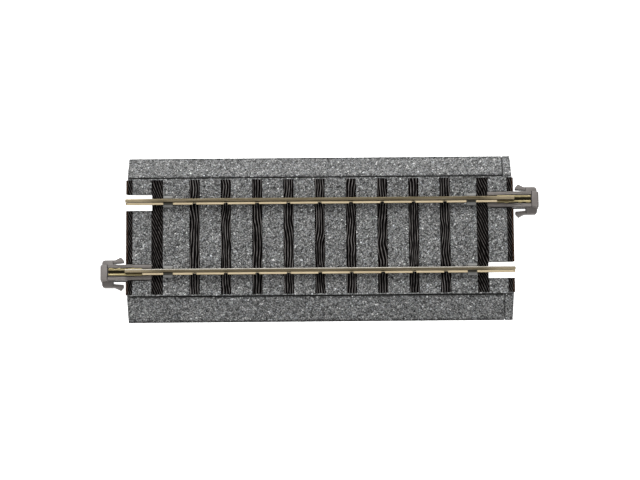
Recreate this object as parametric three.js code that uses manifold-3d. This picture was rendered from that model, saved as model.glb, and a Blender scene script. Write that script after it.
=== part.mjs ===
// A straight section of sectional model railway track: a ballasted roadbed with two clip-on
// shoulders, moulded ties, two rails and a latching joiner at each end.
//
// Millimetres. X runs along the track, Y across it and Z up. The origin is at the middle of the
// footprint, on the surface that the section stands on. The section is the same when it is turned
// half a turn about Z, except for its shoulders, whose end seams are both at the +X end.

import * as THREE from "three";
import { mergeVertices } from "three/addons/utils/BufferGeometryUtils.js";
import Module from "manifold-3d";

const wasm = await Module();
wasm.setup();

// ---- Driving dimensions ----

const GAUGE = 16.5; // between the inner faces of the rail heads
const TIE_END = 47; // half the section's length, to the outer faces of the end ties
const DECK_END = 46.7; // half the length of the ballast
const BASE_HALF_WIDTH = 20.3;
const SEAM_Y = 14.6; // the middle of the seam between the deck and a shoulder
const SEAM_GAP = 0.3;
const DECK_TOP = 4.1;
const SKIN = 1.1; // thickness of the deck
const WALL = 1.2; // thickness of the side walls
const END_WALL = 1.0;
const RIB = 0.9;
const CLEARANCE = 0.06; // between pieces that fit together

const HEAD_WIDTH = 0.8;
const HEAD_HEIGHT = 0.62;
const HEAD_EDGE = 0.14; // the chamfer of the rail head's upper edges
const RAIL_HEIGHT = 2.1;
const WEB_WIDTH = 0.4;
const FOOT_WIDTH = 1.5;
const FOOT_EDGE = 0.3; // thickness of the foot at its edge
const FOOT_ROOT = 0.42; // thickness of the foot where it meets the web
const RAIL_END = 47.1;
const RAIL_Y = (GAUGE + HEAD_WIDTH) / 2;

const TIE_TOP = 4.35;
const TIE_BOTTOM = 2.5;
const TIE_HALF_LENGTH = 14.15;
const TIE_WIDTH = 2.5;
const TIE_PITCH = 7.59;
const TIES_EACH_SIDE = 4; // of the tie at the middle
const WIDE_TIE_X = 39.43;
const WIDE_TIE_WIDTH = 2.8;
const END_TIE_INNER = 45.4;
const END_TIE_BOTTOM = 3.6;
const STRIP_WEB_TOP = 2.9;
const STRIP_WEB_BOTTOM = 1.9;
const STRIP_WEB_WIDTH = 1.8;
const END_WEB_TOP = 2.9;
const END_WEB_WIDTH = 1.0;
const END_WEB_Y = 1.6; // of the middle webs of an end moulding
const OUTER_WEB_INNER = 13.2; // inner face of the webs beside the side walls

const SPIKE_LENGTH = 0.9;
const SPIKE_WIDTH = 0.45;
const SPIKE_HOOK = 0.3; // how far a spike's head reaches over the rail foot

const CLIP_X = 36.75;
const CLIP_LENGTH = 2.3;
const CLIP_HALF_WIDTH = 1.4;
const CLIP_TOP = 5.1;
const CLIP_STEM_INSET = 0.3;
const CLIP_STEM_BOTTOM = 3.1;

const NOTCH_HALF_WIDTH = 2.05;
const NOTCH_INNER = 40.65;
const MOUTH_HALF_WIDTH = 3.95; // the latch opening in an end wall
const MOUTH_TOP = 3.1;
const POCKET_INNER_RIB = 39.9; // outer face of the rib that closes a latch pocket
const LONG_RIB_Y = 3.4;

const SHOULDER_RIGHT_END = 44.4;
const FLANGE_START = 44.65; // the roadbed's own sloping flange starts here
const SHOULDER_TOP = 4.0;
const SHOULDER_LIP = 0.5; // height of the upright edge at the foot of the slope
const SHOULDER_SHELL = 1.1;
const END_DRAFT = 0.25; // how much the slope's ends lean in from top to bottom
const TONGUE_LENGTH = 3.0;
const TONGUE_BOTTOM = 1.0;
const TONGUE_TOP = 1.9;
const TONGUE_TIP_Y = 12.4;

const JOINER_INNER = 40.9;
const JOINER_OUTER = 53.2;
const JOINER_TOP = 4.8;
const JOINER_BOTTOM = 1.4;
const JOINER_HALF_WIDTH = 1.88;
const JOINER_BEVEL = 0.35;
const PRONG_CORNER = 0.4; // radius of its inner end's corners
const NOSE_INNER = 51.3;
const CHANNEL_HALF_WIDTH = 1.03;
const GUIDE_HALF_WIDTH = 3.1; // the flange that runs under the deck
const GUIDE_INNER = 41.5;
const GUIDE_TOP = 2.9;
const WING_INNER = 50.0;
const WING_OUTER = 52.85;
const WING_HALF_WIDTH = 3.4;
const WING_CORNER = 0.8;

const FISHPLATE_INNER = 43.0;
const FISHPLATE_OUTER = 51.2;
const FISHPLATE_HALF_WIDTH = 0.95;
const FISHPLATE_SHEET = 0.15;
const FISHPLATE_TOP = 5.05;
const FISHPLATE_GAP = 0.54; // between its two lips

const ARM_ROOT = 49.9;
const ARM_TIP = 47.5;
const ARM_PEAK_X = 48.25;
const ARM_PEAK_Y = 4.1;
const ARM_BARB_X = 49.6; // where the barb starts to rise
const ARM_TIP_OUTER_Y = 3.25;
const ARM_TIP_INNER_Y = 2.75;
const ARM_ROOT_INNER_Y = 2.45;
const ARM_EDGE = 0.1; // how far back its corners start to round

const PAST = 1; // how far a cutting tool reaches past the surface it cuts
const FAR_PAST = 5; // the same, for a tool that clears everything beyond it

const RAIL_BOTTOM = TIE_TOP + CLEARANCE;
const RAIL_TOP = RAIL_BOTTOM + RAIL_HEIGHT;
const SKIN_BOTTOM = DECK_TOP - SKIN;
const DECK_SIDE = SEAM_Y - SEAM_GAP / 2;
const SHOULDER_INNER = SEAM_Y + SEAM_GAP / 2;
const WALL_INNER = DECK_SIDE - WALL;

// ---- Solid helpers ----

// The solid inside a closed three.js geometry, with its corners on a grid of a ten-thousandth of
// a millimetre, so that faces meant to lie in one plane do.
function solidOf(geometry) {
  const grid = 1e4;
  const bare = geometry.index ? geometry.toNonIndexed() : geometry.clone();
  bare.deleteAttribute("normal");
  bare.deleteAttribute("uv");
  const merged = mergeVertices(bare, 1e-4);
  return new wasm.Manifold(
    new wasm.Mesh({
      numProp: 3,
      vertProperties: Float32Array.from(
        merged.attributes.position.array,
        (value) => Math.round(value * grid) / grid,
      ),
      triVerts: new Uint32Array(merged.index.array),
    }),
  );
}

// A box from its lowest and highest X, Y and Z.
function box([x0, x1], [y0, y1], [z0, z1]) {
  const geometry = new THREE.BoxGeometry(x1 - x0, y1 - y0, z1 - z0);
  geometry.translate((x0 + x1) / 2, (y0 + y1) / 2, (z0 + z1) / 2);
  return solidOf(geometry);
}

// The range of the given width about a middle value.
function about(middle, width) {
  return [middle - width / 2, middle + width / 2];
}

// A prism along X whose section is drawn in Y and Z.
function prismAlongX(section, [x0, x1]) {
  const shape = new THREE.Shape(section.map(([y, z]) => new THREE.Vector2(y, z)));
  const geometry = new THREE.ExtrudeGeometry(shape, { depth: x1 - x0, bevelEnabled: false });
  const turn = new THREE.Matrix4().set(0, 0, 1, x0, 1, 0, 0, 0, 0, 1, 0, 0, 0, 0, 0, 1);
  return solidOf(geometry.applyMatrix4(turn));
}

// A prism along Z whose outline is a shape in X and Y.
function prismAlongZ(shape, [z0, z1]) {
  const geometry = new THREE.ExtrudeGeometry(shape, {
    depth: z1 - z0,
    bevelEnabled: false,
    curveSegments: 5,
  });
  return solidOf(geometry.translate(0, 0, z0));
}

function join(solids) {
  return solids.reduce((all, next) => all.add(next));
}

function mirroredAcross(solid) {
  return solid.mirror([0, 1, 0]);
}

function halfTurn(solid) {
  return solid.rotate([0, 0, 180]);
}

// A solid and its mirror image on the other side of the track's middle line.
function onBothSides(solid) {
  return join([solid, mirroredAcross(solid)]);
}

// A solid at the +X end and the same one turned half a turn to the -X end.
function onBothEnds(solid) {
  return join([solid, halfTurn(solid)]);
}

function piece(name, solid, material) {
  const mesh = solid.getMesh();
  const geometry = new THREE.BufferGeometry();
  geometry.setAttribute("position", new THREE.BufferAttribute(mesh.vertProperties, 3));
  geometry.setIndex(new THREE.BufferAttribute(mesh.triVerts, 1));
  const flat = geometry.toNonIndexed();
  flat.computeVertexNormals();
  const result = new THREE.Mesh(flat, material);
  result.name = name;
  return result;
}

function finish(color, roughness, metalness) {
  return new THREE.MeshStandardMaterial({ color, roughness, metalness });
}

// ---- Places that repeat ----

const tieXs = [];
for (let i = -TIES_EACH_SIDE; i <= TIES_EACH_SIDE; i += 1) {
  tieXs.push(i * TIE_PITCH);
}

// The cross ribs stand midway between neighbouring ties.
const crossRibXs = [];
for (let i = 0.5; i < TIES_EACH_SIDE; i += 1) {
  crossRibXs.push(-i * TIE_PITCH, i * TIE_PITCH);
}
const lastRibX = (TIES_EACH_SIDE * TIE_PITCH + CLIP_X - CLIP_LENGTH / 2) / 2;
crossRibXs.push(-lastRibX, lastRibX);

// A shoulder's clip tongues are under the first and the last tie on each side of the middle.
const tongueXs = [-TIES_EACH_SIDE, -1, 1, TIES_EACH_SIDE].map((i) => i * TIE_PITCH);

// ---- Ties ----

// One spike: a post beside the rail foot with a head that reaches over it.
function spike(tieX, railY, side) {
  const postInner = FOOT_WIDTH / 2 + CLEARANCE;
  const headBottom = RAIL_BOTTOM + FOOT_ROOT + CLEARANCE;
  const headTop = headBottom + SPIKE_HOOK;
  const along = about(tieX, SPIKE_LENGTH);
  const post = [postInner, postInner + SPIKE_WIDTH];
  const head = [postInner - SPIKE_HOOK, postInner + SPIKE_WIDTH];
  const across = ([a, b]) => [railY + Math.min(side * a, side * b), railY + Math.max(side * a, side * b)];
  return join([
    box(along, across(post), [TIE_BOTTOM, headTop]),
    box(along, across(head), [headBottom, headTop]),
  ]);
}

function tieStrip(grow) {
  const solids = [];
  for (const x of tieXs) {
    solids.push(
      box(
        about(x, TIE_WIDTH + 2 * grow),
        about(0, 2 * (TIE_HALF_LENGTH + grow)),
        [TIE_BOTTOM - grow, TIE_TOP],
      ),
    );
  }
  const webEnd = TIES_EACH_SIDE * TIE_PITCH;
  for (const railY of [-RAIL_Y, RAIL_Y]) {
    solids.push(
      box(
        [-webEnd - grow, webEnd + grow],
        about(railY, STRIP_WEB_WIDTH + 2 * grow),
        [STRIP_WEB_BOTTOM - grow, STRIP_WEB_TOP + grow],
      ),
    );
  }
  return join(solids);
}

function tieStripWithSpikes() {
  const solids = [tieStrip(0)];
  for (const x of tieXs) {
    for (const railY of [-RAIL_Y, RAIL_Y]) {
      solids.push(spike(x, railY, -1), spike(x, railY, 1));
    }
  }
  return join(solids);
}

// The +X end moulding: the wide tie and the three half ties at the end, joined under the deck.
// grow is 0 for the moulding, and the clearance for the room that the roadbed leaves it.
function endTies(grow) {
  const wideTie = box(
    about(WIDE_TIE_X, WIDE_TIE_WIDTH + 2 * grow),
    about(0, 2 * (TIE_HALF_LENGTH + grow)),
    [TIE_BOTTOM - grow, TIE_TOP],
  );
  const segmentX = [END_TIE_INNER - grow, TIE_END];
  const segmentZ = [END_TIE_BOTTOM - grow, TIE_TOP];
  const legX = [END_TIE_INNER - grow, END_TIE_INNER + END_WEB_WIDTH + grow];
  const webX = [WIDE_TIE_X, legX[1]];
  const webZ = [TIE_BOTTOM - grow, END_WEB_TOP + grow];
  const middleWeb = [END_WEB_Y - grow, END_WEB_Y + END_WEB_WIDTH + grow];
  const outerWeb = [OUTER_WEB_INNER - grow, TIE_HALF_LENGTH + grow];
  const gap = 2 * NOTCH_HALF_WIDTH;
  const middleHalf = RAIL_Y - gap / 2 + grow;
  const sides = onBothSides(
    join([
      box(segmentX, [RAIL_Y + gap / 2 - grow, TIE_HALF_LENGTH + grow], segmentZ),
      box(legX, outerWeb, [TIE_BOTTOM - grow, END_TIE_BOTTOM + grow]),
      box(webX, outerWeb, webZ),
      box(legX, middleWeb, [TIE_BOTTOM - grow, END_TIE_BOTTOM + grow]),
      box(webX, middleWeb, webZ),
    ]),
  );
  const middle = box(segmentX, [-middleHalf, middleHalf], segmentZ);
  // The wide tie is cut back behind each notch, to clear a joiner's inner end.
  const cutBack = onBothSides(
    box(
      [NOTCH_INNER + grow, WIDE_TIE_X + WIDE_TIE_WIDTH],
      about(RAIL_Y, gap - 2 * grow),
      [TIE_BOTTOM - FAR_PAST, TIE_TOP + FAR_PAST],
    ),
  );
  return join([wideTie, sides, middle]).subtract(cutBack);
}

// ---- Roadbed ----

// The sloping section of a shoulder on the +Y side, as a solid wedge from the given inner face.
function slopeSection(innerY) {
  return [
    [innerY, 0],
    [BASE_HALF_WIDTH, 0],
    [BASE_HALF_WIDTH, SHOULDER_LIP],
    [innerY, SHOULDER_TOP],
  ];
}

// A tool that trims the ends of the slopes to their draft, past the given end.
function endDraftTool() {
  const outside = DECK_END + FAR_PAST;
  const shape = new THREE.Shape();
  shape.moveTo(DECK_END - END_DRAFT, 0);
  shape.lineTo(DECK_END, SHOULDER_TOP);
  shape.lineTo(DECK_END, SHOULDER_TOP + FAR_PAST);
  shape.lineTo(outside, SHOULDER_TOP + FAR_PAST);
  shape.lineTo(outside, -FAR_PAST);
  shape.lineTo(DECK_END - END_DRAFT, -FAR_PAST);
  const depth = BASE_HALF_WIDTH;
  const geometry = new THREE.ExtrudeGeometry(shape, { depth, bevelEnabled: false });
  geometry.rotateX(Math.PI / 2);
  geometry.translate(0, DECK_SIDE + depth, 0);
  return onBothSides(solidOf(geometry));
}

function tongueSlot(x) {
  const grow = 2 * CLEARANCE;
  return box(
    about(x, TONGUE_LENGTH + 2 * grow),
    [WALL_INNER - PAST / 4, DECK_SIDE + PAST / 4],
    [TONGUE_BOTTOM - grow, TONGUE_TOP + grow],
  );
}

function clipHole(x, railY) {
  const length = CLIP_LENGTH - 2 * CLIP_STEM_INSET + 2 * CLEARANCE;
  const width = 2 * (CLIP_HALF_WIDTH - CLIP_STEM_INSET + CLEARANCE);
  return box(about(x, length), about(railY, width), [SKIN_BOTTOM - PAST, DECK_TOP + PAST]);
}

function roadbed() {
  const ends = [-DECK_END, DECK_END];
  const skin = box(ends, [-DECK_SIDE, DECK_SIDE], [SKIN_BOTTOM, DECK_TOP]);
  const upright = [0, DECK_TOP - SKIN / 2];
  const sideWalls = onBothSides(box(ends, [WALL_INNER, DECK_SIDE], upright));
  const longRibs = onBothSides(box(ends, about(LONG_RIB_Y, RIB), upright));
  const endWalls = onBothEnds(
    box([DECK_END - END_WALL, DECK_END], [-DECK_SIDE, DECK_SIDE], upright),
  );
  const pocketRibs = onBothEnds(
    box([POCKET_INNER_RIB - RIB, POCKET_INNER_RIB], [-DECK_SIDE, DECK_SIDE], upright),
  );
  const crossRibs = crossRibXs.map((x) => box(about(x, RIB), [-DECK_SIDE, DECK_SIDE], upright));
  const flanges = onBothSides(
    prismAlongX(slopeSection(DECK_SIDE), [FLANGE_START, DECK_END]).subtract(endDraftTool()),
  );

  const notches = onBothEnds(
    onBothSides(
      box(
        [NOTCH_INNER, TIE_END + PAST],
        about(RAIL_Y, 2 * NOTCH_HALF_WIDTH),
        [SKIN_BOTTOM - PAST, DECK_TOP + PAST],
      ),
    ),
  );
  const mouths = onBothEnds(
    onBothSides(
      box(
        [DECK_END - END_WALL - PAST, DECK_END + PAST],
        about(RAIL_Y, 2 * MOUTH_HALF_WIDTH),
        [-PAST, MOUTH_TOP],
      ),
    ),
  );
  const tieRoom = join([tieStrip(CLEARANCE), onBothEnds(endTies(CLEARANCE))]);
  const clipHoles = [-CLIP_X, CLIP_X].flatMap((x) =>
    [-RAIL_Y, RAIL_Y].map((railY) => clipHole(x, railY)),
  );
  const slots = onBothSides(join(tongueXs.map(tongueSlot)));

  return join([skin, sideWalls, longRibs, endWalls, pocketRibs, ...crossRibs, flanges])
    .subtract(notches)
    .subtract(mouths)
    .subtract(tieRoom)
    .subtract(join(clipHoles))
    .subtract(slots);
}

// ---- Shoulders ----

// The +Y shoulder: a hollow sloping strip with tongues that clip into the side wall.
function shoulder() {
  const reach = [-DECK_END, SHOULDER_RIGHT_END];
  const shell = prismAlongX(slopeSection(SHOULDER_INNER), reach);
  const slope = (SHOULDER_TOP - SHOULDER_LIP) / (BASE_HALF_WIDTH - SHOULDER_INNER);
  const hollowInner = SHOULDER_INNER + SHOULDER_SHELL;
  const hollowOuter = BASE_HALF_WIDTH - SHOULDER_SHELL;
  const ceiling = (y) => SHOULDER_LIP + slope * (BASE_HALF_WIDTH - y) - SHOULDER_SHELL;
  const hollow = prismAlongX(
    [
      [hollowInner, -PAST],
      [hollowOuter, -PAST],
      [hollowOuter, ceiling(hollowOuter)],
      [hollowInner, ceiling(hollowInner)],
    ],
    [reach[0] + SHOULDER_SHELL, reach[1] - SHOULDER_SHELL],
  );
  const tongues = tongueXs.map((x) =>
    box(
      about(x, TONGUE_LENGTH),
      [TONGUE_TIP_Y, SHOULDER_INNER + SHOULDER_SHELL / 2],
      [TONGUE_BOTTOM, TONGUE_TOP],
    ),
  );
  return join([shell.subtract(halfTurn(endDraftTool())).subtract(hollow), ...tongues]);
}

// ---- Rails and their clips ----

function railSection() {
  const z = RAIL_BOTTOM;
  const foot = FOOT_WIDTH / 2;
  const web = WEB_WIDTH / 2;
  const head = HEAD_WIDTH / 2;
  const right = [
    [foot, z],
    [foot, z + FOOT_EDGE],
    [web, z + FOOT_ROOT],
    [web, RAIL_TOP - HEAD_HEIGHT],
    [head, RAIL_TOP - HEAD_HEIGHT + HEAD_EDGE / 2],
    [head, RAIL_TOP - HEAD_EDGE],
    [head - HEAD_EDGE, RAIL_TOP],
  ];
  const left = right.map(([y, height]) => [-y, height]).reverse();
  return [...right, ...left];
}

function rail(railY) {
  return prismAlongX(railSection(), [-RAIL_END, RAIL_END]).translate([0, railY, 0]);
}

// A tab that straddles the rail foot, on a stem that plugs into the deck.
function railClip(x, railY) {
  const collar = box(about(x, CLIP_LENGTH), about(railY, 2 * CLIP_HALF_WIDTH), [
    DECK_TOP + CLEARANCE,
    CLIP_TOP,
  ]);
  const stem = box(
    about(x, CLIP_LENGTH - 2 * CLIP_STEM_INSET),
    about(railY, 2 * (CLIP_HALF_WIDTH - CLIP_STEM_INSET)),
    [CLIP_STEM_BOTTOM, DECK_TOP + 2 * CLEARANCE],
  );
  const footRoom = box(about(x, 2 * CLIP_LENGTH), about(railY, FOOT_WIDTH + 2 * CLEARANCE), [
    RAIL_BOTTOM - CLEARANCE,
    RAIL_BOTTOM + FOOT_ROOT + CLEARANCE,
  ]);
  const webRoom = box(about(x, 2 * CLIP_LENGTH), about(railY, WEB_WIDTH + 2 * CLEARANCE), [
    RAIL_BOTTOM,
    CLIP_TOP + PAST,
  ]);
  return join([collar, stem]).subtract(footRoom).subtract(webRoom);
}

// ---- Joiners, drawn at the +X end on the +Y rail ----

// The raised body in plan: prongs towards the track, and a plain outer end.
function bodyOutline() {
  const inner = JOINER_INNER;
  const outer = JOINER_OUTER;
  const half = JOINER_HALF_WIDTH;
  const round = PRONG_CORNER;
  const shape = new THREE.Shape();
  shape.moveTo(inner + round, -half);
  shape.lineTo(outer, -half);
  shape.lineTo(outer, half);
  shape.lineTo(inner + round, half);
  shape.absarc(inner + round, half - round, round, Math.PI / 2, Math.PI, false);
  shape.lineTo(inner, -half + round);
  shape.absarc(inner + round, -half + round, round, Math.PI, 1.5 * Math.PI, false);
  return shape;
}

function wingOutline() {
  const outer = WING_OUTER;
  const half = WING_HALF_WIDTH;
  const corner = WING_CORNER;
  const shape = new THREE.Shape();
  shape.moveTo(WING_INNER, -half);
  shape.lineTo(outer - corner, -half);
  shape.absarc(outer - corner, -half + corner, corner, 1.5 * Math.PI, 2 * Math.PI, false);
  shape.lineTo(outer, half - corner);
  shape.absarc(outer - corner, half - corner, corner, 0, Math.PI / 2, false);
  shape.lineTo(WING_INNER, half);
  return shape;
}

// The sloping outer end of the body, as a tool to cut off the corner above it.
function noseBevelTool() {
  const shape = new THREE.Shape();
  shape.moveTo(JOINER_OUTER - JOINER_BEVEL, JOINER_TOP + PAST);
  shape.lineTo(JOINER_OUTER - JOINER_BEVEL, JOINER_TOP);
  shape.lineTo(JOINER_OUTER, JOINER_BOTTOM + 2 * JOINER_BEVEL);
  shape.lineTo(JOINER_OUTER + PAST, JOINER_BOTTOM + 2 * JOINER_BEVEL);
  shape.lineTo(JOINER_OUTER + PAST, JOINER_TOP + PAST);
  const depth = 4 * JOINER_HALF_WIDTH;
  const geometry = new THREE.ExtrudeGeometry(shape, { depth, bevelEnabled: false });
  geometry.rotateX(Math.PI / 2);
  geometry.translate(0, depth / 2, 0);
  return solidOf(geometry);
}

function joinerHousing() {
  const body = prismAlongZ(bodyOutline(), [JOINER_BOTTOM, JOINER_TOP]).subtract(noseBevelTool());
  const guide = box(
    [GUIDE_INNER, DECK_END],
    [-GUIDE_HALF_WIDTH, GUIDE_HALF_WIDTH],
    [JOINER_BOTTOM, GUIDE_TOP],
  );
  const wing = prismAlongZ(wingOutline(), [JOINER_BOTTOM, GUIDE_TOP]);
  const channel = box(
    [JOINER_INNER - PAST, NOSE_INNER],
    [-CHANNEL_HALF_WIDTH, CHANNEL_HALF_WIDTH],
    [RAIL_BOTTOM - FISHPLATE_SHEET - 3 * CLEARANCE, JOINER_TOP + PAST],
  );
  return join([body, guide, wing]).subtract(channel);
}

// The metal joiner: a folded channel whose lips hold the rail foot.
function fishplateSection() {
  const outer = FISHPLATE_HALF_WIDTH;
  const sheet = FISHPLATE_SHEET;
  const bottom = RAIL_BOTTOM - CLEARANCE - sheet;
  const lip = FISHPLATE_GAP / 2;
  return [
    [-outer, bottom],
    [outer, bottom],
    [outer, FISHPLATE_TOP],
    [lip, FISHPLATE_TOP],
    [lip, FISHPLATE_TOP - sheet],
    [outer - sheet, FISHPLATE_TOP - sheet],
    [outer - sheet, bottom + sheet],
    [-outer + sheet, bottom + sheet],
    [-outer + sheet, FISHPLATE_TOP - sheet],
    [-lip, FISHPLATE_TOP - sheet],
    [-lip, FISHPLATE_TOP],
    [-outer, FISHPLATE_TOP],
  ];
}

function fishplate() {
  return prismAlongX(fishplateSection(), [FISHPLATE_INNER, FISHPLATE_OUTER]);
}

// The latch arm on the +Y side of the housing.
function latchArm() {
  const shape = new THREE.Shape();
  shape.moveTo(ARM_ROOT, ARM_ROOT_INNER_Y);
  shape.lineTo(ARM_ROOT, WING_HALF_WIDTH);
  shape.lineTo(ARM_BARB_X, WING_HALF_WIDTH);
  shape.lineTo(ARM_PEAK_X + ARM_EDGE, ARM_PEAK_Y);
  shape.quadraticCurveTo(ARM_PEAK_X, ARM_PEAK_Y, ARM_PEAK_X - ARM_EDGE, ARM_PEAK_Y - ARM_EDGE);
  shape.lineTo(ARM_TIP + ARM_EDGE, ARM_TIP_OUTER_Y + ARM_EDGE);
  shape.quadraticCurveTo(ARM_TIP, ARM_TIP_OUTER_Y, ARM_TIP, ARM_TIP_OUTER_Y - ARM_EDGE);
  shape.lineTo(ARM_TIP, ARM_TIP_INNER_Y + ARM_EDGE);
  shape.quadraticCurveTo(ARM_TIP, ARM_TIP_INNER_Y, ARM_TIP + ARM_EDGE, ARM_TIP_INNER_Y);
  return prismAlongZ(shape, [JOINER_BOTTOM, GUIDE_TOP]);
}

function ontoRail(solid) {
  return solid.translate([0, RAIL_Y, 0]);
}

// ---- The section ----

const ballast = finish(0x7c7d7c, 0.95, 0);
const tiePlastic = finish(0x29262a, 0.75, 0);
const clipPlastic = finish(0x8c8c8a, 0.6, 0);
const joinerPlastic = finish(0x837b77, 0.55, 0);
const railMetal = finish(0xb09c78, 0.35, 1);
const fishplateMetal = finish(0xa8965c, 0.35, 1);

const section = new THREE.Group();
section.add(
  piece("roadbed", roadbed(), ballast),
  piece("shoulder_far", shoulder(), ballast),
  piece("shoulder_near", mirroredAcross(shoulder()), ballast),
  piece("tie_strip", tieStripWithSpikes(), tiePlastic),
  piece("end_ties_right", endTies(0), tiePlastic),
  piece("end_ties_left", halfTurn(endTies(0)), tiePlastic),
  piece("rail_far", rail(RAIL_Y), railMetal),
  piece("rail_near", rail(-RAIL_Y), railMetal),
);

for (const [end, endSign] of [["left", -1], ["right", 1]]) {
  for (const [side, sideSign] of [["far", 1], ["near", -1]]) {
    const clip = railClip(endSign * CLIP_X, sideSign * RAIL_Y);
    section.add(piece("rail_clip_" + end + "_" + side, clip, clipPlastic));
  }
}

const outerArm = ontoRail(latchArm());
const innerArm = ontoRail(mirroredAcross(latchArm()));
section.add(
  piece("joiner_housing_right", ontoRail(joinerHousing()), joinerPlastic),
  piece("rail_joiner_right", ontoRail(fishplate()), fishplateMetal),
  piece("latch_arm_right_far", outerArm, joinerPlastic),
  piece("latch_arm_right_near", innerArm, joinerPlastic),
  piece("joiner_housing_left", halfTurn(ontoRail(joinerHousing())), joinerPlastic),
  piece("rail_joiner_left", halfTurn(ontoRail(fishplate())), fishplateMetal),
  piece("latch_arm_left_near", halfTurn(outerArm), joinerPlastic),
  piece("latch_arm_left_far", halfTurn(innerArm), joinerPlastic),
);

export default section;
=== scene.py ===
# A straight section of model railway track: granular ballast, grained ties, drawn metal rails
# and a latching joiner at each end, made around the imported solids.
#
# Shapes are worked out in millimetres and handed to Blender in metres.
import math

import bmesh
import bpy
import numpy as np
from mathutils import Matrix, Vector


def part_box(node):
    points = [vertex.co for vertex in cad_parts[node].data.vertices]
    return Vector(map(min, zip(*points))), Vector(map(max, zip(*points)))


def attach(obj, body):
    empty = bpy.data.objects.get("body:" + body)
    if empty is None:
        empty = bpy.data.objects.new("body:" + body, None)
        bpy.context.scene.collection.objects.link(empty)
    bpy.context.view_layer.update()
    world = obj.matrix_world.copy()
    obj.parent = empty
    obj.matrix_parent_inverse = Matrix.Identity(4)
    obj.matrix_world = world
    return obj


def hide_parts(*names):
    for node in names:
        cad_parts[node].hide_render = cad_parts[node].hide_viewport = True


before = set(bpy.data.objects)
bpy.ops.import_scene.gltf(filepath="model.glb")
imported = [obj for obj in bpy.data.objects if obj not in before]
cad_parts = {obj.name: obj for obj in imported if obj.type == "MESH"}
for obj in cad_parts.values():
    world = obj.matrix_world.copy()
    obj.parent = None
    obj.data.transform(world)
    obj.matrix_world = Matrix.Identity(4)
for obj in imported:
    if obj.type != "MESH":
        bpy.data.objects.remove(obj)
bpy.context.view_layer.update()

MM = 0.001


def box_mm(node):
    """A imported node's lowest and highest corners in millimetres."""
    low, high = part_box(node)
    return low / MM, high / MM


# ---- Places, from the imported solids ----

ROADBED_HIGH = box_mm("roadbed")[1]
SHOULDER_HIGH = box_mm("shoulder_far")[1]
STRIP_LOW, STRIP_HIGH = box_mm("tie_strip")
END_LOW, END_HIGH = box_mm("end_ties_right")
RAIL_LOW, RAIL_HIGH = box_mm("rail_far")
HOUSING_LOW, HOUSING_HIGH = box_mm("joiner_housing_right")
FISHPLATE_LOW, FISHPLATE_HIGH = box_mm("rail_joiner_right")
ARM_LOW, ARM_HIGH = box_mm("latch_arm_right_far")
CLIP_LOW, CLIP_HIGH = box_mm("rail_clip_right_far")

DECK_END = ROADBED_HIGH.x
DECK_TOP = ROADBED_HIGH.z
BASE_HALF_WIDTH = ROADBED_HIGH.y
SHOULDER_END = SHOULDER_HIGH.x
SHOULDER_TOP = SHOULDER_HIGH.z
TIE_HALF_LENGTH = STRIP_HIGH.y
TIE_END = END_HIGH.x
RAIL_Y = (RAIL_LOW.y + RAIL_HIGH.y) / 2
RAIL_BOTTOM = RAIL_LOW.z
RAIL_TOP = RAIL_HIGH.z
RAIL_END = RAIL_HIGH.x

# Each end and each side of the section: its sign along X or Y, and its name.
ENDS = ((-1, "left"), (1, "right"))
SIDES = ((1, "far"), (-1, "near"))

# ---- Driving dimensions of the detail, in millimetres ----

SEAM_Y = 14.6  # middle of the long seam between the deck and a shoulder
SEAM_GAP = 0.3
DECK_SIDE = SEAM_Y - SEAM_GAP / 2
SHOULDER_INNER = SEAM_Y + SEAM_GAP / 2
SHOULDER_LIP = 0.5  # height of a shoulder's upright outer edge
FLANGE_START = SHOULDER_END + 0.25  # where the roadbed's own flank starts, past a shoulder's end
END_DRAFT = 0.25  # how far the foot of an end face is set in from its top
SHOULDER_EDGE = 0.5  # height of the shoulder's inner face that the grains cover
FIT_GAP = 0.06  # between pieces that fit each other
OVERLAP = 0.3  # how far two blocks of one moulding run into each other

TIES_EACH_SIDE = 4
TIE_WIDTH = 2.5
TIE_PITCH = (STRIP_HIGH.x - TIE_WIDTH / 2) / TIES_EACH_SIDE
TIE_TOP = RAIL_BOTTOM - FIT_GAP
TIE_BOTTOM = END_LOW.z
WIDE_TIE_WIDTH = 2.8
WIDE_TIE_INNER = END_LOW.x
WIDE_TIE_OUTER = WIDE_TIE_INNER + WIDE_TIE_WIDTH
END_TIE_INNER = 45.4  # of the half ties at the very end
END_TIE_BOTTOM = 3.6
NOTCH_HALF_WIDTH = 2.05  # of the room for a neighbour's joiner
NOTCH_INNER = 40.65
WEB_WIDTH = 1.8  # of the webs that join the ties under the rails
WEB_TOP = 2.9
END_WEBS = ((1.6, 2.6), (13.2, TIE_HALF_LENGTH))  # across, at each side of the middle line

GRAIN_PITCH = 0.44
GRAIN_TALL = 0.34
GRAIN_STEP = 0.17  # spacing of the ballast's mesh
GRAIN_GAP = 0.01  # between the ballast and what stands in it
GRAIN_SINK = 0.12  # how far the ballast's underside lies in the solid below
GROUND_GAP = 0.02  # between the lowest grains and the ground
LEDGE_GAP = 0.03  # between the ledge under the long seam and a shoulder

FISHPLATE_SHEET = 0.12
PROFILE_STEPS = 6  # steps round each rounded corner

# ---- Mesh helpers ----


def order_key(place):
    """A number that differs from place to place, to put corners or faces in a fixed order."""
    return place.x + place.y / 1e3 + place.z / 1e6


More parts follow.
